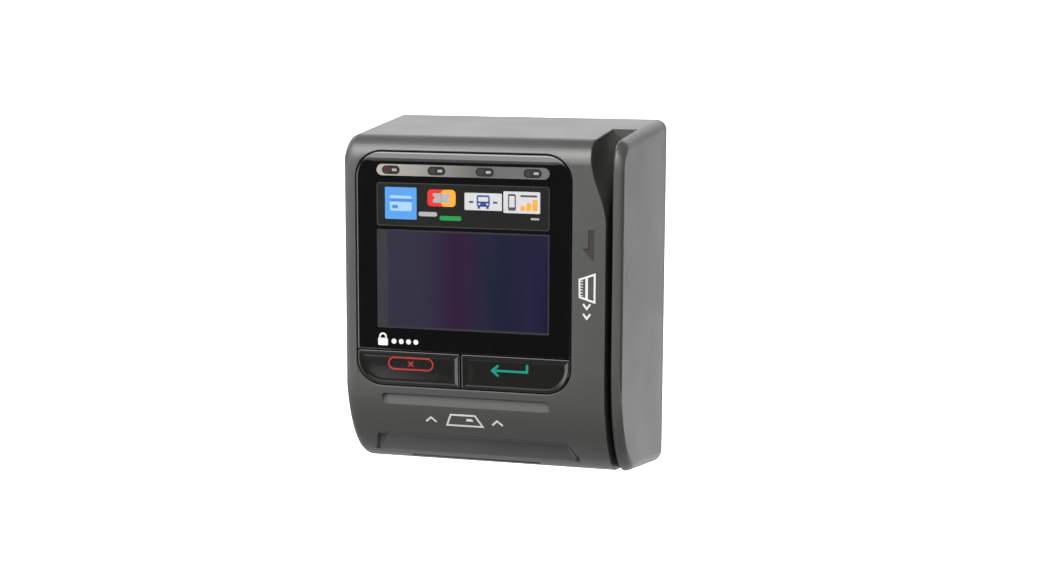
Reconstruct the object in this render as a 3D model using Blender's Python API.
"""Wall-mounted card payment terminal with a swipe slot and a chip-card slot.

Metres, +Z up. The front faces -Y, the wall is the plane y = 0, and z = 0 is near mid-height.
x = 0 is the middle of the housing. "Depth" below means the distance behind the flat front.
"""

import math

import bmesh
import bpy
from mathutils import Matrix

MM = 0.001
GAP = 0.3 * MM

# Outer body: a tapered shell, widest at the wall.
FRONT_WIDTH = 115 * MM
DEPTH = 78 * MM
SIDE_FLARE = 3.4 * MM
TOP_AT_WALL = 73.2 * MM
TOP_AT_FRONT = 68.5 * MM
TOP_FRONT_RADIUS = 10 * MM
FRONT_EDGE_RADIUS = 1.8 * MM
REAR_EDGE_RADIUS = 1.6 * MM
TOP_CORNER_RADIUS = 4.5 * MM
BOTTOM_CORNER_AT_FRONT = 3.5 * MM
BOTTOM_CORNER_AT_WALL = 6 * MM
# The front curves under along a quarter ellipse, which then runs into a straight underside.
CHIN_TOP = -22.5 * MM
CHIN_DEPTH = 31.5 * MM
CHIN_HEIGHT = 46.8 * MM
CHIN_END_ANGLE = math.radians(83.6)
WALL_THICKNESS = 2.6 * MM
FRONT_WALL = 4.8 * MM
HOUSING_DEPTH = 74.3 * MM

# Window, keys and display share one centre line left of the middle.
PANEL_X = -7.7 * MM
LENS_HALF_WIDTH = 44.65 * MM
LENS_BOTTOM = -32.7 * MM
LENS_TOP = 63.0 * MM
LENS_CORNER = 10.5 * MM
LENS_THICKNESS = 1.6 * MM
KEY_TOP = -18.1 * MM
KEY_THICKNESS = 1.6 * MM
KEY_TRAVEL = 0.8 * MM
KEY_STEM_Z = -25.5 * MM
KEY_DIVIDER = PANEL_X - 0.9 * MM
KEY_CENTRES = {"cancel": PANEL_X - 22.6 * MM, "enter": PANEL_X + 22.2 * MM}
FIT = 0.1 * MM
LENS_RECESS_FLOOR = 3.0 * MM
KEY_RECESS_FLOOR = LENS_RECESS_FLOOR + KEY_TRAVEL

LCD_HALF_WIDTH = 35.85 * MM
LCD_BOTTOM = -8.7 * MM
LCD_TOP = 31.6 * MM
LABEL_BOTTOM = 32.6 * MM
LABEL_TOP = 50.6 * MM
LIGHT_BAR_Z = 55.6 * MM
LIGHT_BAR_HALF_WIDTH = 35.75 * MM
LIGHT_BAR_HEIGHT = 4.6 * MM
LAMP_OFFSETS = [x * MM for x in (-31.0, -11.9, 8.1, 27.6)]

# Swipe slot down the right side, with a funnel at its top.
SLOT_LEFT = 50.85 * MM
SLOT_RIGHT = 53.25 * MM
SLOT_DEPTH = 41 * MM
FUNNEL_LEFT = 44.4 * MM
FUNNEL_RIGHT = 54.2 * MM
FUNNEL_FOOT = 34.8 * MM
HEAD_DEPTH = 29.5 * MM
HEAD_Z = 8 * MM

# Half arrow pressed into the front beside the slot, as (x, z), pointing down.
ARROW = [(43.8, 34.0), (46.1, 34.0), (46.1, 21.5), (41.4, 26.6), (43.8, 26.6)]
ARROW_DEPTH = 0.4 * MM

# Long shallow groove across the chin, under the keys.
GROOVE_X = (PANEL_X - 34.8 * MM, PANEL_X + 35.7 * MM)
GROOVE_Z = (-44 * MM, -36 * MM)
GROOVE_CORNER = 2.2 * MM
GROOVE_DEPTH = 2.6 * MM

# Chip-card slot in the underside, behind a finger recess.
CARD_WIDTH = 54 * MM
CARD_PATH = (19.2 * MM, 21.5 * MM)
FINGER_RECESS_FLOOR = 15.5 * MM
FINGER_RECESS_TOP = -55 * MM
FINGER_RECESS_TOP_X = (PANEL_X - 40 * MM, PANEL_X + 42 * MM)
FINGER_RECESS_SHOULDER = -62 * MM
FINGER_RECESS_SHOULDER_X = (PANEL_X - 41.4 * MM, PANEL_X + 44.6 * MM)
LEVER_PIVOT = (27.5 * MM - DEPTH, -12 * MM)
LEVER_X = (8 * MM, 11 * MM)

BOARD_DEPTH = 50 * MM
BOARD_THICKNESS = 1.6 * MM

# Fasteners and the cable opening, as (x, z).
COVER_SCREWS = {
    "cover_screw_1": (-54.2 * MM, 66.2 * MM),
    "cover_screw_2": (54.2 * MM, 66.2 * MM),
    "cover_screw_3": (-52.6 * MM, -65.6 * MM),
    "cover_screw_4": (52.6 * MM, -65.6 * MM),
}
BOARD_SCREWS = {
    "board_screw_1": (-43.5 * MM, 56 * MM),
    "board_screw_2": (43.5 * MM, 56 * MM),
    "board_screw_3": (-43.5 * MM, -54 * MM),
    "board_screw_4": (43.5 * MM, -54 * MM),
}
WALL_INSERTS = {
    "wall_insert_1": (-37.5 * MM, 30 * MM),
    "wall_insert_2": (37.5 * MM, 30 * MM),
    "wall_insert_3": (-37.5 * MM, -50 * MM),
    "wall_insert_4": (37.5 * MM, -50 * MM),
}
CABLE_OPENING = ((-26 * MM, 26 * MM), (-44 * MM, -18 * MM))


def clear_scene():
    for obj in list(bpy.data.objects):
        bpy.data.objects.remove(obj, do_unlink=True)


def new_collection(name):
    group = bpy.data.collections.new(name)
    bpy.context.scene.collection.children.link(group)
    return group


clear_scene()
PARTS = new_collection("card_terminal")
CUTTERS = new_collection("cutters")
CUTTERS.hide_render = True


def material(name, color, roughness, metallic=0.0):
    made = bpy.data.materials.new(name)
    made.use_nodes = True
    shader = made.node_tree.nodes["Principled BSDF"]
    shader.inputs["Base Color"].default_value = (*color, 1)
    shader.inputs["Roughness"].default_value = roughness
    shader.inputs["Metallic"].default_value = metallic
    return made


HOUSING_GREY = material("housing_grey", (0.11, 0.115, 0.11), 0.42)
GLOSS_BLACK = material("gloss_black", (0.008, 0.008, 0.008), 0.08)
FOAM = material("foam_black", (0.02, 0.02, 0.02), 0.9)
PAPER = material("label_print", (0.03, 0.03, 0.035), 0.5)
DIFFUSER = material("diffuser", (0.32, 0.31, 0.3), 0.35)
LAMP = material("lamp_epoxy", (0.25, 0.03, 0.03), 0.25)
LCD_GLASS = material("lcd_glass", (0.03, 0.03, 0.07), 0.1)
STEEL = material("steel", (0.6, 0.6, 0.6), 0.3, 1.0)
BRASS = material("brass", (0.75, 0.55, 0.25), 0.3, 1.0)
COPPER = material("copper", (0.8, 0.42, 0.25), 0.3, 1.0)
BOARD = material("board_green", (0.01, 0.12, 0.05), 0.45)
BACKLIGHT = material("backlight_white", (0.75, 0.75, 0.75), 0.5)
FERRITE = material("ferrite", (0.05, 0.045, 0.04), 0.7)
SILICONE = material("silicone", (0.35, 0.36, 0.36), 0.6)
CHIP_BLACK = material("black_plastic", (0.015, 0.015, 0.015), 0.5)


def depth(distance):
    """The y of the plane this far behind the flat front."""
    return distance - DEPTH


def add(name, mesh, finish):
    """A named part, or a cutter where finish is None."""
    obj = bpy.data.objects.new(name, mesh)
    if finish is None:
        CUTTERS.objects.link(obj)
        obj.hide_render = True
        obj.display_type = "WIRE"
    else:
        PARTS.objects.link(obj)
        mesh.materials.append(finish)
    return obj


def smooth(obj, angle=35):
    obj.data.shade_smooth()
    obj.data.set_sharp_from_angle(angle=math.radians(angle))
    return obj


def face_outwards(shape):
    bmesh.ops.recalc_face_normals(shape, faces=shape.faces)
    if shape.calc_volume(signed=True) < 0:
        bmesh.ops.reverse_faces(shape, faces=shape.faces)


def mesh_from(build, name):
    """A mesh made by running build on an empty bmesh, with its faces pointing out."""
    shape = bmesh.new()
    build(shape)
    face_outwards(shape)
    mesh = bpy.data.meshes.new(name)
    shape.to_mesh(mesh)
    shape.free()
    return mesh


def block(name, x, y, z, finish=None, round_edges=0.0, along="Y", segments=3):
    """A box between two corners. Its four edges along one axis can be rounded."""
    spans = (x, y, z)
    axis = "XYZ".index(along)

    def build(shape):
        bmesh.ops.create_cube(shape, size=1)
        for vertex in shape.verts:
            for i, (low, high) in enumerate(spans):
                vertex.co[i] = low if vertex.co[i] < 0 else high
        if round_edges:
            edges = [
                edge
                for edge in shape.edges
                if abs((edge.verts[0].co - edge.verts[1].co)[axis]) > 1e-6
            ]
            bmesh.ops.bevel(
                shape,
                geom=edges,
                offset=round_edges,
                segments=segments,
                profile=0.5,
                affect="EDGES",
            )

    return add(name, mesh_from(build, name), finish)


def rod(name, centre, radius, start, end, finish=None, along="Y", sides=16):
    """A cylinder along one axis. centre gives the other two coordinates, in X, Y, Z order."""
    axis = "XYZ".index(along)
    others = [i for i in range(3) if i != axis]

    def build(shape):
        bmesh.ops.create_cone(
            shape,
            cap_ends=True,
            segments=sides,
            radius1=radius,
            radius2=radius,
            depth=end - start,
        )
        for vertex in shape.verts:
            local = vertex.co.copy()
            vertex.co[axis] = (start + end) / 2 + local.z
            vertex.co[others[0]] = centre[0] + local.x
            vertex.co[others[1]] = centre[1] + local.y

    return smooth(add(name, mesh_from(build, name), finish))


def plate(name, outline, front, back, finish=None):
    """A flat outline of (x, z) points made solid from one y to another."""
    curve = bpy.data.curves.new(name, "CURVE")
    curve.dimensions = "2D"
    curve.fill_mode = "BOTH"
    curve.extrude = (back - front) / 2
    spline = curve.splines.new("POLY")
    spline.points.add(len(outline) - 1)
    for point, (x, z) in zip(spline.points, outline):
        point.co = (x, z, 0, 1)
    spline.use_cyclic_u = True
    flat = bpy.data.objects.new(name, curve)
    CUTTERS.objects.link(flat)
    flat.rotation_euler = (math.radians(90), 0, 0)
    flat.location = (0, (front + back) / 2, 0)
    bpy.context.view_layer.update()
    evaluated = flat.evaluated_get(bpy.context.evaluated_depsgraph_get())
    mesh = bpy.data.meshes.new_from_object(evaluated)
    mesh.transform(flat.matrix_world)
    bpy.data.objects.remove(flat)
    shape = bmesh.new()
    shape.from_mesh(mesh)
    bmesh.ops.remove_doubles(shape, verts=shape.verts, dist=0.001 * MM)
    face_outwards(shape)
    shape.to_mesh(mesh)
    shape.free()
    mesh.materials.clear()
    return add(name, mesh, finish)


def cut(obj, *cutters, operation="DIFFERENCE"):
    for cutter in cutters:
        step = obj.modifiers.new(cutter.name, "BOOLEAN")
        step.operation = operation
        step.object = cutter
        step.solver = "EXACT"
    return obj


def arc(centre, radius, start, end, steps):
    """Points on a circle between two angles in degrees."""
    found = []
    for i in range(steps + 1):
        angle = math.radians(start + (end - start) * i / steps)
        found.append((centre[0] + radius * math.cos(angle), centre[1] + radius * math.sin(angle)))
    return found


def rounded_outline(x, z, radii, steps=5):
    """A rectangle's outline, with radii from its top right corner round to its bottom right."""
    (left, right), (bottom, top) = x, z
    corners = ((right, top, -1, -1), (left, top, 1, -1), (left, bottom, 1, 1), (right, bottom, -1, 1))
    outline = []
    for turn, ((cx, cz, sx, sz), radius) in enumerate(zip(corners, radii)):
        if radius == 0:
            outline.append((cx, cz))
            continue
        centre = (cx + sx * radius, cz + sz * radius)
        outline += arc(centre, radius, 90 * turn, 90 * turn + 90, steps)
    return outline


# --- Outer body -------------------------------------------------------------------------------


def top_of_body(distance):
    """Height of the top at a depth, with the round front edge."""
    level = TOP_AT_FRONT + (TOP_AT_WALL - TOP_AT_FRONT) * distance / DEPTH
    short = max(TOP_FRONT_RADIUS - distance, 0)
    return level - TOP_FRONT_RADIUS + math.sqrt(TOP_FRONT_RADIUS**2 - short**2)


def chin_point(angle):
    """(depth, height) on the chin's ellipse."""
    return CHIN_DEPTH * (1 - math.cos(angle)), CHIN_TOP - CHIN_HEIGHT * math.sin(angle)


def bottom_of_body(distance):
    """Height of the underside at a depth: the chin's ellipse, then a straight line."""
    end_depth, end_height = chin_point(CHIN_END_ANGLE)
    if distance < end_depth:
        return chin_point(math.acos(1 - distance / CHIN_DEPTH))[1]
    slope = CHIN_HEIGHT / CHIN_DEPTH / math.tan(CHIN_END_ANGLE)
    return end_height - slope * (distance - end_depth)


def edge_inset(distance):
    """How far the sides step in for the small radii round the front and the back."""
    short = 0.0
    radius = FRONT_EDGE_RADIUS
    if distance < FRONT_EDGE_RADIUS:
        short = FRONT_EDGE_RADIUS - distance
    elif distance > DEPTH - REAR_EDGE_RADIUS:
        radius = REAR_EDGE_RADIUS
        short = distance - (DEPTH - REAR_EDGE_RADIUS)
    return radius - math.sqrt(max(radius**2 - short**2, 0))


def body_section(distance, wall=0.0):
    """The body's outline in x and z at a depth, or the inside of a wall this thick."""
    outer = max(distance - wall, 0)
    inset = wall if wall else edge_inset(distance)
    half = FRONT_WIDTH / 2 + SIDE_FLARE * distance / DEPTH - inset
    vertical_inset = edge_inset(distance) if distance > DEPTH / 2 and not wall else wall
    top = top_of_body(outer) - vertical_inset
    bottom = bottom_of_body(outer) + vertical_inset
    share = distance / DEPTH
    low_corner = BOTTOM_CORNER_AT_FRONT * (1 - share) + BOTTOM_CORNER_AT_WALL * share
    radii = [max(radius - wall, 1 * MM) for radius in (TOP_CORNER_RADIUS, low_corner)]
    return rounded_outline(
        (-half, half), (bottom, top), (radii[0], radii[0], radii[1], radii[1]), steps=4
    )


def loft(name, rings, finish=None):
    """A solid through rings of equally many 3-D points, capped at both ends."""

    def build(shape):
        made = [[shape.verts.new(point) for point in ring] for ring in rings]
        count = len(made[0])
        for near, far in zip(made, made[1:]):
            for i in range(count):
                after = (i + 1) % count
                shape.faces.new((near[i], near[after], far[after], far[i]))
        shape.faces.new(made[0])
        shape.faces.new(reversed(made[-1]))

    return add(name, mesh_from(build, name), finish)


def body_loft(name, distances, finish=None, wall=0.0, shift=0.0):
    """The body's shape between the first and last of these depths, moved back by shift."""
    rings = []
    for distance in distances:
        y = depth(distance + shift)
        rings.append([(x, y, z) for x, z in body_section(distance, wall)])
    return loft(name, rings, finish)


def depths_between(start, end):
    """Depths for a loft's sections, closer together where the body curves."""
    usual = [0, 0.25, 0.8, 1.7, 3.0, 4.8, 7.0, 9.5, 12.5, 16, 20, 25, 30.6, 45, 60]
    usual += [DEPTH / MM - 1.6, DEPTH / MM - 1.1, DEPTH / MM - 0.5]
    inside = [value * MM for value in usual if start < value * MM < end]
    return [start, *inside, end]


def lens_outline(margin, top=LENS_TOP, bottom=LENS_BOTTOM):
    """The window and keys' shared outline, or its part below top, made smaller by margin."""
    half = LENS_HALF_WIDTH - margin
    radius = LENS_CORNER - margin
    upper = radius if top == LENS_TOP else 0
    return rounded_outline(
        (PANEL_X - half, PANEL_X + half),
        (bottom + margin, top - margin),
        (upper, upper, radius, radius),
    )


def funnel_cutter():
    """Fan-shaped mouth over the swipe slot, open to the front and the top."""
    above = TOP_AT_WALL + 5 * MM
    front = (62.5 * MM, FUNNEL_FOOT)
    back = (71.5 * MM, 64.5 * MM)
    rings = []
    for step in range(5):
        share = step / 4
        fan = front[0] + (back[0] - front[0]) * share
        foot = front[1] + (back[1] - front[1]) * share
        y = depth(-1 * MM + (SLOT_DEPTH + 1 * MM) * share)
        ring = ((SLOT_RIGHT - 0.8 * MM, foot), (SLOT_LEFT, foot), (FUNNEL_LEFT, fan))
        ring += ((FUNNEL_LEFT, above), (SLOT_RIGHT - 0.8 * MM, above))
        rings.append([(x, y, z) for x, z in ring])
    return loft("funnel", rings)


def lead_in_cutter():
    """Slanted cut along the top inner edge of the wing beyond the slot."""
    low = 67 * MM
    outline = [(SLOT_RIGHT - 1 * MM, low), (SLOT_RIGHT, low), (FUNNEL_RIGHT, low + 3.5 * MM)]
    outline += [(FUNNEL_RIGHT, 80 * MM), (SLOT_RIGHT - 1 * MM, 80 * MM)]
    return plate("lead_in", outline, depth(-1 * MM), depth(SLOT_DEPTH - 0.5 * MM))


def arrow_cutter():
    outline = [(x * MM, z * MM) for x, z in ARROW]
    return plate("arrow", outline, depth(-1 * MM), depth(ARROW_DEPTH))


def front_housing():
    """Front, top, sides and underside in one moulding, open at the back."""
    body = body_loft("front_housing", depths_between(0, HOUSING_DEPTH), HOUSING_GREY)
    far = 90 * MM
    cavity = body_loft(
        "cavity", depths_between(FRONT_WALL, HOUSING_DEPTH + 2 * MM), wall=WALL_THICKNESS
    )
    behind_slot = depth(SLOT_DEPTH + WALL_THICKNESS)
    cores = (
        block("slot_core", (SLOT_LEFT - WALL_THICKNESS, far), (-far, behind_slot), (-far, far)),
        block(
            "funnel_core",
            (FUNNEL_LEFT - WALL_THICKNESS, far),
            (-far, behind_slot + 0.5 * MM),
            (FUNNEL_FOOT - 5 * MM, far),
        ),
        block(
            "recess_core",
            (FINGER_RECESS_SHOULDER_X[0] - 2.4 * MM, FINGER_RECESS_SHOULDER_X[1] + 2.4 * MM),
            (-far, depth(FINGER_RECESS_FLOOR + WALL_THICKNESS)),
            (-far, FINGER_RECESS_TOP + 2.4 * MM),
        ),
    )
    cut(cavity, *cores)
    lens_recess = plate(
        "lens_recess", lens_outline(-GAP), depth(-1 * MM), depth(LENS_RECESS_FLOOR)
    )
    key_recess = plate(
        "key_recess", lens_outline(-GAP, top=KEY_TOP + GAP), depth(1 * MM), depth(KEY_RECESS_FLOOR)
    )
    through = (depth(1 * MM), depth(FRONT_WALL + 1 * MM))
    lcd_window = block(
        "lcd_window",
        (PANEL_X - LCD_HALF_WIDTH - 0.6 * MM, PANEL_X + LCD_HALF_WIDTH + 0.6 * MM),
        through,
        (LCD_BOTTOM - 0.6 * MM, LCD_TOP + 0.6 * MM),
    )
    half = LIGHT_BAR_HEIGHT / 2 + 0.4 * MM
    light_window = plate(
        "light_window",
        rounded_outline(
            (PANEL_X - LIGHT_BAR_HALF_WIDTH - 0.4 * MM, PANEL_X + LIGHT_BAR_HALF_WIDTH + 0.4 * MM),
            (LIGHT_BAR_Z - half, LIGHT_BAR_Z + half),
            [half] * 4,
            steps=3,
        ),
        *through,
    )
    cut(body, cavity, lens_recess, key_recess, lcd_window, light_window)
    for name, x in KEY_CENTRES.items():
        stem_hole = block(
            f"{name}_stem_hole",
            (x - 6.6 * MM, x + 6.6 * MM),
            through,
            (KEY_STEM_Z - 3.1 * MM, KEY_STEM_Z + 3.1 * MM),
        )
        cut(body, stem_hole)
    swipe_slot = block("swipe_slot", (SLOT_LEFT, SLOT_RIGHT), (-far, depth(SLOT_DEPTH)), (-far, far))
    head_window = block(
        "head_window",
        (SLOT_LEFT - 5 * MM, SLOT_LEFT + 1 * MM),
        (depth(HEAD_DEPTH - 7.4 * MM), depth(HEAD_DEPTH + 7.4 * MM)),
        (HEAD_Z - 6.4 * MM, HEAD_Z + 6.4 * MM),
    )
    groove = rounded_outline(GROOVE_X, GROOVE_Z, [GROOVE_CORNER] * 4, steps=4)
    long_recess = plate("long_recess", groove, depth(-1 * MM), depth(GROOVE_DEPTH))
    left, right = FINGER_RECESS_SHOULDER_X
    recess_outline = [
        (left, -far),
        (right, -far),
        (right, FINGER_RECESS_SHOULDER),
        (FINGER_RECESS_TOP_X[1], FINGER_RECESS_TOP),
        (FINGER_RECESS_TOP_X[0], FINGER_RECESS_TOP),
        (left, FINGER_RECESS_SHOULDER),
    ]
    finger_recess = plate("finger_recess", recess_outline, depth(MM), depth(FINGER_RECESS_FLOOR))
    card_slot = block(
        "card_slot",
        (PANEL_X - CARD_WIDTH / 2 - 0.7 * MM, PANEL_X + CARD_WIDTH / 2 + 0.7 * MM),
        (depth(CARD_PATH[0]), depth(CARD_PATH[1])),
        (-90 * MM, -50 * MM),
    )
    cut(body, swipe_slot, funnel_cutter(), lead_in_cutter(), head_window, arrow_cutter())
    cut(body, long_recess, finger_recess, card_slot)
    for name, (x, z) in COVER_SCREWS.items():
        boss = rod(
            f"{name}_boss",
            (x, z),
            4.6 * MM,
            depth(46 * MM),
            depth(HOUSING_DEPTH),
        )
        cut(body, boss, operation="UNION")
        cut(body, rod(f"{name}_pilot", (x, z), 1.7 * MM, depth(58 * MM), 5 * MM, sides=12))
    return smooth(body)


# --- Pieces behind the window -----------------------------------------------------------------


def layer(front, thickness):
    """The y range of a flat piece whose front is this far behind the flat front."""
    return depth(front), depth(front + thickness)


def skin_piece(name, outline, thickness, finish):
    """A piece that follows the body's outer surface, cut out along an outline."""
    piece = plate(name, outline, depth(-2 * MM), depth(8 * MM), finish)
    cut(piece, body_loft(f"{name}_outside", depths_between(0, 20 * MM)), operation="INTERSECT")
    inside = body_loft(f"{name}_inside", depths_between(0, 20 * MM), shift=thickness)
    return smooth(cut(piece, inside))


def window_pieces():
    left = PANEL_X - LENS_HALF_WIDTH + FIT
    right = PANEL_X + LENS_HALF_WIDTH - FIT
    lens = rounded_outline(
        (left, right), (KEY_TOP + 1.5 * FIT, LENS_TOP - FIT), (LENS_CORNER, LENS_CORNER, 0, 0)
    )
    skin_piece("lens_panel", lens, LENS_THICKNESS, GLOSS_BLACK)

    tape_y = layer(LENS_THICKNESS + 0.3 * MM, 0.6 * MM)
    edge = 1.2 * MM
    tape = plate(
        "lens_gasket",
        rounded_outline(
            (left + edge, right - edge),
            (KEY_TOP + edge, 57 * MM + edge),
            (4 * MM, 4 * MM, 0, 0),
            steps=3,
        ),
        *tape_y,
        FOAM,
    )
    through = (depth(0), depth(5 * MM))
    inside = (PANEL_X - LCD_HALF_WIDTH - 2 * MM, PANEL_X + LCD_HALF_WIDTH + 2 * MM)
    inside_z = (LCD_BOTTOM - 2 * MM, LABEL_TOP + 0.8 * MM)
    bar = (PANEL_X - LIGHT_BAR_HALF_WIDTH - 0.9 * MM, PANEL_X + LIGHT_BAR_HALF_WIDTH + 0.9 * MM)
    bar_z = (LIGHT_BAR_Z - 2.8 * MM, LIGHT_BAR_Z + 2.8 * MM)
    cut(tape, block("tape_window", inside, through, inside_z))
    cut(tape, block("tape_lamps", bar, through, bar_z))

    plate(
        "label_insert",
        rounded_outline(
            (PANEL_X - 35.9 * MM, PANEL_X + 35.9 * MM),
            (LABEL_BOTTOM + 0.3 * MM, LABEL_TOP),
            [2 * MM] * 4,
            steps=3,
        ),
        *layer(LENS_THICKNESS + 0.35 * MM, 0.4 * MM),
        PAPER,
    )
    half = LIGHT_BAR_HEIGHT / 2
    plate(
        "light_bar",
        rounded_outline(
            (PANEL_X - LIGHT_BAR_HALF_WIDTH, PANEL_X + LIGHT_BAR_HALF_WIDTH),
            (LIGHT_BAR_Z - half, LIGHT_BAR_Z + half),
            [half] * 4,
            steps=4,
        ),
        *layer(LENS_THICKNESS + 0.4 * MM, 3.6 * MM),
        DIFFUSER,
    )
    for number, offset in enumerate(LAMP_OFFSETS, start=1):
        block(
            f"status_lamp_{number}",
            (PANEL_X + offset - 1.6 * MM, PANEL_X + offset + 1.6 * MM),
            layer(6.1 * MM, 1.2 * MM),
            (LIGHT_BAR_Z - 1.3 * MM, LIGHT_BAR_Z + 1.3 * MM),
            LAMP,
            round_edges=0.5 * MM,
            segments=1,
        )


def display_pieces():
    x = (PANEL_X - LCD_HALF_WIDTH, PANEL_X + LCD_HALF_WIDTH)
    block("lcd_glass", x, layer(LENS_THICKNESS + 0.4 * MM, 2.2 * MM), (LCD_BOTTOM, LCD_TOP), LCD_GLASS)
    frame_x = (PANEL_X - 38 * MM, PANEL_X + 38 * MM)
    frame_z = (LCD_BOTTOM - 2.4 * MM, LCD_TOP + 2.6 * MM)
    frame = block("lcd_frame", frame_x, layer(5.1 * MM, 1.0 * MM), frame_z, STEEL)
    view = block(
        "lcd_view",
        (x[0] + 1 * MM, x[1] - 1 * MM),
        (depth(4 * MM), depth(8 * MM)),
        (LCD_BOTTOM + 1 * MM, LCD_TOP - 1 * MM),
    )
    cut(frame, view)
    block("lcd_backlight", frame_x, layer(6.4 * MM, 2.6 * MM), frame_z, BACKLIGHT)
    block("lcd_board", frame_x, layer(9.3 * MM, 1.2 * MM), frame_z, BOARD)

    def ring(name, outer_x, outer_z, y, finish, band=None):
        piece = block(name, outer_x, y, outer_z, finish, round_edges=1.5 * MM, segments=2)
        hole_x = (PANEL_X - 38.6 * MM, PANEL_X + 38.6 * MM)
        hole_z = (frame_z[0] - 0.6 * MM, frame_z[1] + 0.6 * MM)
        if band:
            hole_x = (outer_x[0] + band, outer_x[1] - band)
            hole_z = (outer_z[0] + band, outer_z[1] - band)
        cut(piece, block(f"{name}_window", hole_x, (y[0] - MM, y[1] + MM), hole_z))
        return piece

    wide = (PANEL_X - 43.4 * MM, PANEL_X + 43.4 * MM)
    ring("antenna_board", wide, (-16 * MM, 61 * MM), layer(7.6 * MM, 1.2 * MM), BOARD)
    coil_x = (PANEL_X - 42.6 * MM, PANEL_X + 42.6 * MM)
    ring("antenna_loop", coil_x, (-15 * MM, 51 * MM), layer(6.9 * MM, 0.4 * MM), COPPER, 2.4 * MM)
    ring("ferrite_sheet", coil_x, (-15.4 * MM, 60 * MM), layer(9.1 * MM, 0.5 * MM), FERRITE)


def key_pieces():
    low = LENS_BOTTOM + FIT
    top = KEY_TOP - 1.5 * FIT
    left = PANEL_X - LENS_HALF_WIDTH + FIT
    right = PANEL_X + LENS_HALF_WIDTH - FIT
    spans = {
        "cancel": (left, KEY_DIVIDER - 0.2 * MM, (0.6 * MM, 0.6 * MM, LENS_CORNER, 0.6 * MM)),
        "enter": (KEY_DIVIDER + 0.2 * MM, right, (0.6 * MM, 0.6 * MM, 0.6 * MM, LENS_CORNER)),
    }
    for name, (start, end, radii) in spans.items():
        outline = rounded_outline((start, end), (low, top), radii)
        cap = skin_piece(f"{name}_key", outline, KEY_THICKNESS, GLOSS_BLACK)
        x = KEY_CENTRES[name]
        stem = block(
            f"{name}_stem",
            (x - 6 * MM, x + 6 * MM),
            (depth(1.2 * MM), depth(6.0 * MM)),
            (KEY_STEM_Z - 2.5 * MM, KEY_STEM_Z + 2.5 * MM),
        )
        cut(cap, stem, operation="UNION")
        place = (x, KEY_STEM_Z)
        rod(f"{name}_dome", place, 3.2 * MM, depth(6.3 * MM), depth(8.3 * MM), SILICONE, sides=12)

    pad_x = (PANEL_X - 42.5 * MM, PANEL_X + 42.5 * MM)
    pad_z = (-31 * MM, -19.6 * MM)
    mat = block("key_mat", pad_x, layer(7.2 * MM, 1.1 * MM), pad_z, SILICONE, 1.5 * MM, segments=2)
    for name, x in KEY_CENTRES.items():
        cut(mat, rod(f"{name}_mat_hole", (x, KEY_STEM_Z), 3.8 * MM, depth(5 * MM), depth(10 * MM)))
    block("keypad_board", pad_x, layer(8.6 * MM, 1.2 * MM), pad_z, BOARD)


# --- Swipe reader -----------------------------------------------------------------------------


def swipe_reader():
    """Magnetic head in a window of the slot's left wall, pressed out by a spring."""
    nose = SLOT_LEFT + 0.8 * MM
    head_y = (depth(HEAD_DEPTH - 6.8 * MM), depth(HEAD_DEPTH + 6.8 * MM))
    outline = [(nose - 8 * MM, HEAD_Z - 5.6 * MM), (nose - 3 * MM, HEAD_Z - 5.6 * MM)]
    outline += arc((nose - 6.2 * MM, HEAD_Z), 6.2 * MM, -52, 52, 8)
    outline += [(nose - 3 * MM, HEAD_Z + 5.6 * MM), (nose - 8 * MM, HEAD_Z + 5.6 * MM)]
    smooth(plate("mag_head", outline, *head_y, STEEL))
    back = nose - 8 * MM
    rod(
        "head_spring",
        (depth(HEAD_DEPTH), HEAD_Z),
        2.5 * MM,
        back - 3.3 * MM,
        back - 0.3 * MM,
        STEEL,
        along="X",
        sides=12,
    )
    block(
        "head_bracket",
        (back - 5.2 * MM, back - 3.6 * MM),
        (depth(HEAD_DEPTH - 12 * MM), depth(HEAD_DEPTH + 12 * MM)),
        (HEAD_Z - 9 * MM, HEAD_Z + 9 * MM),
        STEEL,
        round_edges=2 * MM,
        along="X",
        segments=2,
    )
    block(
        "slot_wear_strip",
        (SLOT_LEFT + GAP, SLOT_RIGHT - GAP),
        (depth(SLOT_DEPTH - 0.8 * MM), depth(SLOT_DEPTH - GAP)),
        (-60 * MM, 63 * MM),
        STEEL,
    )


# --- Chip-card reader -------------------------------------------------------------------------


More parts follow.
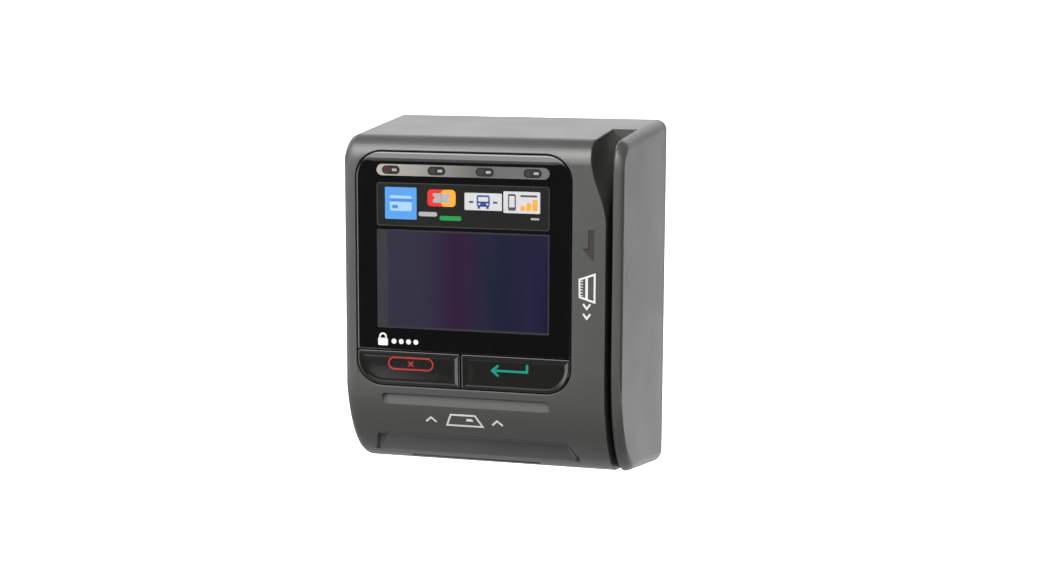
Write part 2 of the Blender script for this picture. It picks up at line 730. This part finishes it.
def chip_reader():
    """Two frames that guide a card upwards, with contacts and a card-present lever behind it."""
    outer = (PANEL_X - CARD_WIDTH / 2 - 4 * MM, PANEL_X + CARD_WIDTH / 2 + 4 * MM)
    inner = (PANEL_X - CARD_WIDTH / 2 - 0.5 * MM, PANEL_X + CARD_WIDTH / 2 + 0.5 * MM)
    top = -5 * MM
    front = block(
        "chip_reader_front",
        outer,
        (depth(16.2 * MM), depth(CARD_PATH[0] - 0.1 * MM)),
        (-49.8 * MM, top),
        CHIP_BLACK,
    )
    relief_x = (outer[0] + 6 * MM, outer[1] - 6 * MM)
    relief_y = (depth(10 * MM), depth(17.6 * MM))
    cut(front, block("front_relief", relief_x, relief_y, (-45 * MM, top - 4 * MM)))
    back_y = (depth(CARD_PATH[0] + 0.2 * MM), depth(25 * MM))
    back = block("chip_reader_back", outer, back_y, (-57.5 * MM, top), CHIP_BLACK)
    path = (depth(10 * MM), depth(CARD_PATH[1]))
    cut(back, block("card_path", inner, path, (-70 * MM, top - 2.5 * MM)))
    contacts_x = (PANEL_X - 8 * MM, PANEL_X + 8 * MM)
    contacts_z = (-32 * MM, -19 * MM)
    hole_y = (depth(20 * MM), depth(30 * MM))
    cut(back, block("contact_window", contacts_x, hole_y, contacts_z))
    lever_gap = (LEVER_X[0] - 0.8 * MM, LEVER_X[1] + 0.8 * MM)
    cut(back, block("lever_window", lever_gap, hole_y, (-21 * MM, -9 * MM)))
    for number, x in enumerate((LEVER_X[0] - 2.6 * MM, LEVER_X[1] + 0.9 * MM), start=1):
        ear = block(
            f"lever_ear_{number}",
            (x, x + 1.7 * MM),
            (depth(24 * MM), depth(30 * MM)),
            (-14.5 * MM, -9.5 * MM),
        )
        cut(back, ear, operation="UNION")
    cut(back, rod("pin_bore", LEVER_PIVOT, 1.0 * MM, -1 * MM, 18 * MM, along="X", sides=16))

    block_x = (contacts_x[0] + 0.4 * MM, contacts_x[1] - 0.4 * MM)
    block_z = (contacts_z[0] + 0.4 * MM, contacts_z[1] - 0.4 * MM)
    contacts = block("contact_block", block_x, (depth(22 * MM), depth(27 * MM)), block_z, CHIP_BLACK)
    for column in range(2):
        for row in range(4):
            x = PANEL_X + (column - 0.5) * 7.6 * MM
            z = (contacts_z[0] + contacts_z[1]) / 2 + (row - 1.5) * 2.54 * MM
            spring = block(
                f"contact_{column}_{row}",
                (x - 0.9 * MM, x + 0.9 * MM),
                (depth(21.0 * MM), depth(23 * MM)),
                (z - 0.6 * MM, z + 0.6 * MM),
            )
            cut(contacts, spring, operation="UNION")

    y, z = LEVER_PIVOT
    half_hub = 1.8 * MM
    hub_y = (y - half_hub, y + half_hub)
    hub_z = (z - half_hub, z + half_hub)
    hub = block("card_lever", LEVER_X, hub_y, hub_z, CHIP_BLACK, 0.8 * MM, "X", segments=2)
    nose = loft(
        "lever_nose",
        [
            [
                (x, y - 1.7 * MM, z + 0.6 * MM),
                (x, y + 0.4 * MM, z - 1.5 * MM),
                (x, depth(22.2 * MM), z - 7.2 * MM),
                (x, depth(20.1 * MM), z - 5.2 * MM),
                (x, depth(20.4 * MM), z - 3.6 * MM),
            ]
            for x in (LEVER_X[0] + 0.1 * MM, LEVER_X[1] - 0.1 * MM)
        ],
    )
    cut(hub, nose, operation="UNION")
    cut(hub, rod("lever_bore", LEVER_PIVOT, 1.0 * MM, 0, 20 * MM, along="X", sides=16))
    move_origin(hub, (0, y, z))
    rod("lever_pin", LEVER_PIVOT, 0.8 * MM, LEVER_X[0] - 2.3 * MM, LEVER_X[1] + 2.3 * MM, STEEL, "X", 12)
    block(
        "card_switch",
        (LEVER_X[0] - 3 * MM, LEVER_X[1] + 3 * MM),
        (depth(30.8 * MM), depth(35 * MM)),
        (-16 * MM, -6 * MM),
        CHIP_BLACK,
    )


def move_origin(obj, place):
    """Puts the object's origin at a place without moving its mesh."""
    obj.data.transform(Matrix.Translation(place).inverted())
    obj.location = place


# --- Main board and back ----------------------------------------------------------------------


def main_board():
    back_of_board = BOARD_DEPTH + BOARD_THICKNESS
    board = block(
        "main_board",
        (-48.5 * MM, 48.5 * MM),
        layer(BOARD_DEPTH, BOARD_THICKNESS),
        (-60 * MM, 61 * MM),
        BOARD,
        round_edges=2 * MM,
        segments=2,
    )
    for name, (x, z) in BOARD_SCREWS.items():
        cut(board, rod(f"{name}_hole", (x, z), 1.7 * MM, depth(40 * MM), depth(60 * MM), sides=12))
        head = (depth(BOARD_DEPTH - 2.1 * MM), depth(BOARD_DEPTH - GAP))
        screw = rod(name, (x, z), 2.8 * MM, *head, STEEL, sides=12)
        length = (depth(BOARD_DEPTH - 1 * MM), depth(BOARD_DEPTH + 9 * MM))
        shank = rod(f"{name}_shank", (x, z), 1.3 * MM, *length, sides=10)
        cut(screw, shank, operation="UNION")

    def on_front(name, x, z, height, finish, corner=0.0):
        y = (depth(BOARD_DEPTH - GAP - height), depth(BOARD_DEPTH - GAP))
        return block(name, x, y, z, finish, corner, segments=2)

    def on_back(name, x, z, height, finish, corner=0.0):
        y = (depth(back_of_board + GAP), depth(back_of_board + GAP + height))
        return block(name, x, y, z, finish, corner, segments=2)

    on_front("processor", (-30 * MM, -14 * MM), (18 * MM, 34 * MM), 1.4 * MM, CHIP_BLACK)
    shield = on_front("security_shield", (-36 * MM, -8 * MM), (12 * MM, 40 * MM), 5 * MM, STEEL, 1.5 * MM)
    cut(
        shield,
        block(
            "shield_inside",
            (-35.4 * MM, -8.6 * MM),
            (depth(BOARD_DEPTH - 4.6 * MM), depth(BOARD_DEPTH + 2 * MM)),
            (12.6 * MM, 39.4 * MM),
        ),
    )
    on_front("secure_module_socket", (8 * MM, 24 * MM), (16 * MM, 44 * MM), 2.4 * MM, CHIP_BLACK)
    holder = on_front("cell_holder", (4 * MM, 26 * MM), (-20 * MM, 2 * MM), 5 * MM, CHIP_BLACK, 3 * MM)
    cell_centre = (15 * MM, -9 * MM)
    pocket_y = (depth(BOARD_DEPTH - 9 * MM), depth(BOARD_DEPTH - 2 * MM))
    cell_y = (depth(BOARD_DEPTH - 5.4 * MM), depth(BOARD_DEPTH - 2.3 * MM))
    buzzer_y = (depth(BOARD_DEPTH - 7 * MM), depth(BOARD_DEPTH - GAP))
    cut(holder, rod("cell_pocket", cell_centre, 10.2 * MM, *pocket_y, sides=24))
    rod("coin_cell", cell_centre, 9.9 * MM, *cell_y, STEEL, sides=24)
    rod("buzzer", (-28 * MM, -30 * MM), 6 * MM, *buzzer_y, CHIP_BLACK, sides=20)
    on_front("tamper_switch", (42 * MM, 47 * MM), (38 * MM, 43 * MM), 3.4 * MM, CHIP_BLACK)
    rod(
        "tamper_plunger",
        (44.5 * MM, 40.5 * MM),
        1.2 * MM,
        depth(SLOT_DEPTH + WALL_THICKNESS + 0.5 * MM + GAP),
        depth(BOARD_DEPTH - 4 * MM),
        SILICONE,
        sides=10,
    )

    data = on_back("data_socket", (-20 * MM, -4 * MM), (-38 * MM, -24.5 * MM), 18 * MM, STEEL)
    jack_y = (depth(back_of_board + 5 * MM), depth(back_of_board + 25 * MM))
    cut(data, block("jack_recess", (-18 * MM, -6 * MM), jack_y, (-36 * MM, -28 * MM)))
    power = on_back("power_socket", (8 * MM, 22 * MM), (-37 * MM, -26 * MM), 14 * MM, CHIP_BLACK)
    pin_y = (depth(back_of_board + 4 * MM), depth(back_of_board + 25 * MM))
    for number in range(2):
        low = (10.4 + 5.6 * number) * MM
        cut(power, block(f"power_way_{number}", (low, low + 3.6 * MM), pin_y, (-33 * MM, -29.4 * MM)))


def rear_cover():
    """Flat cover over the open back, with posts for the main board and a cable opening."""
    front = HOUSING_DEPTH + GAP
    cover = body_loft("rear_cover", depths_between(front, DEPTH), HOUSING_GREY)
    beyond = (front - 2 * MM, front + 2 * MM)
    groove = rim_loft("gasket_groove", (front - 1 * MM, front + 1.1 * MM), 1.0 * MM)
    cut(groove, rim_loft("groove_core", beyond, 2.8 * MM))
    cut(cover, groove)
    gasket = rim_loft("rear_gasket", (front, front + 0.8 * MM), 1.25 * MM, FOAM)
    cut(gasket, rim_loft("gasket_core", beyond, 2.55 * MM))

    opening_y = (depth(60 * MM), 5 * MM)
    opening = block("cable_opening", CABLE_OPENING[0], opening_y, CABLE_OPENING[1], round_edges=3 * MM)
    cut(cover, opening)
    for name, (x, z) in BOARD_SCREWS.items():
        length = (depth(BOARD_DEPTH + BOARD_THICKNESS + GAP), depth(front + 1 * MM))
        post = rod(f"{name}_post", (x, z), 3.4 * MM, *length, sides=12)
        cut(cover, post, operation="UNION")
        cut(cover, rod(f"{name}_pilot", (x, z), 1.6 * MM, depth(45 * MM), depth(front - 6 * MM), sides=10))
    for name, (x, z) in WALL_INSERTS.items():
        boss = rod(f"{name}_boss", (x, z), 5.5 * MM, depth(front - 5 * MM), depth(front + 1 * MM))
        cut(cover, boss, operation="UNION")
        cut(cover, rod(f"{name}_seat", (x, z), 3.3 * MM, depth(60 * MM), 5 * MM))
        insert = rod(name, (x, z), 3.0 * MM, depth(front - 4.6 * MM), -0.4 * MM, BRASS)
        cut(insert, rod(f"{name}_thread", (x, z), 1.65 * MM, depth(60 * MM), 5 * MM, sides=12))
    for name, (x, z) in COVER_SCREWS.items():
        head_seat = -1.9 * MM
        cut(
            cover,
            rod(f"{name}_clearance", (x, z), 1.8 * MM, depth(60 * MM), 5 * MM, sides=12),
            rod(f"{name}_counterbore", (x, z), 3.2 * MM, head_seat, 5 * MM),
        )
        screw = rod(name, (x, z), 2.8 * MM, head_seat + GAP, -0.2 * MM, STEEL)
        shank = rod(f"{name}_shank", (x, z), 1.35 * MM, depth(60 * MM), head_seat + 1 * MM, sides=10)
        cut(screw, shank, operation="UNION")
        drive_x = (x - 1.6 * MM, x + 1.6 * MM)
        drive_z = (z - 0.35 * MM, z + 0.35 * MM)
        cut(screw, block(f"{name}_drive", drive_x, (-0.9 * MM, 5 * MM), drive_z))
    smooth(cover)


def rim_loft(name, distances, inset, finish=None):
    """A straight solid of the outline at the joint with the cover, stepped in."""
    half = FRONT_WIDTH / 2 + SIDE_FLARE * HOUSING_DEPTH / DEPTH - inset
    top = top_of_body(HOUSING_DEPTH) - inset
    bottom = bottom_of_body(HOUSING_DEPTH) + inset
    radii = [max(radius - inset, 1 * MM) for radius in (TOP_CORNER_RADIUS, BOTTOM_CORNER_AT_WALL)]
    corners = (radii[0], radii[0], radii[1], radii[1])
    outline = rounded_outline((-half, half), (bottom, top), corners, steps=4)
    return loft(name, [[(x, depth(d), z) for x, z in outline] for d in distances], finish)


front_housing()
window_pieces()
display_pieces()
key_pieces()
swipe_reader()
chip_reader()
main_board()
rear_cover()
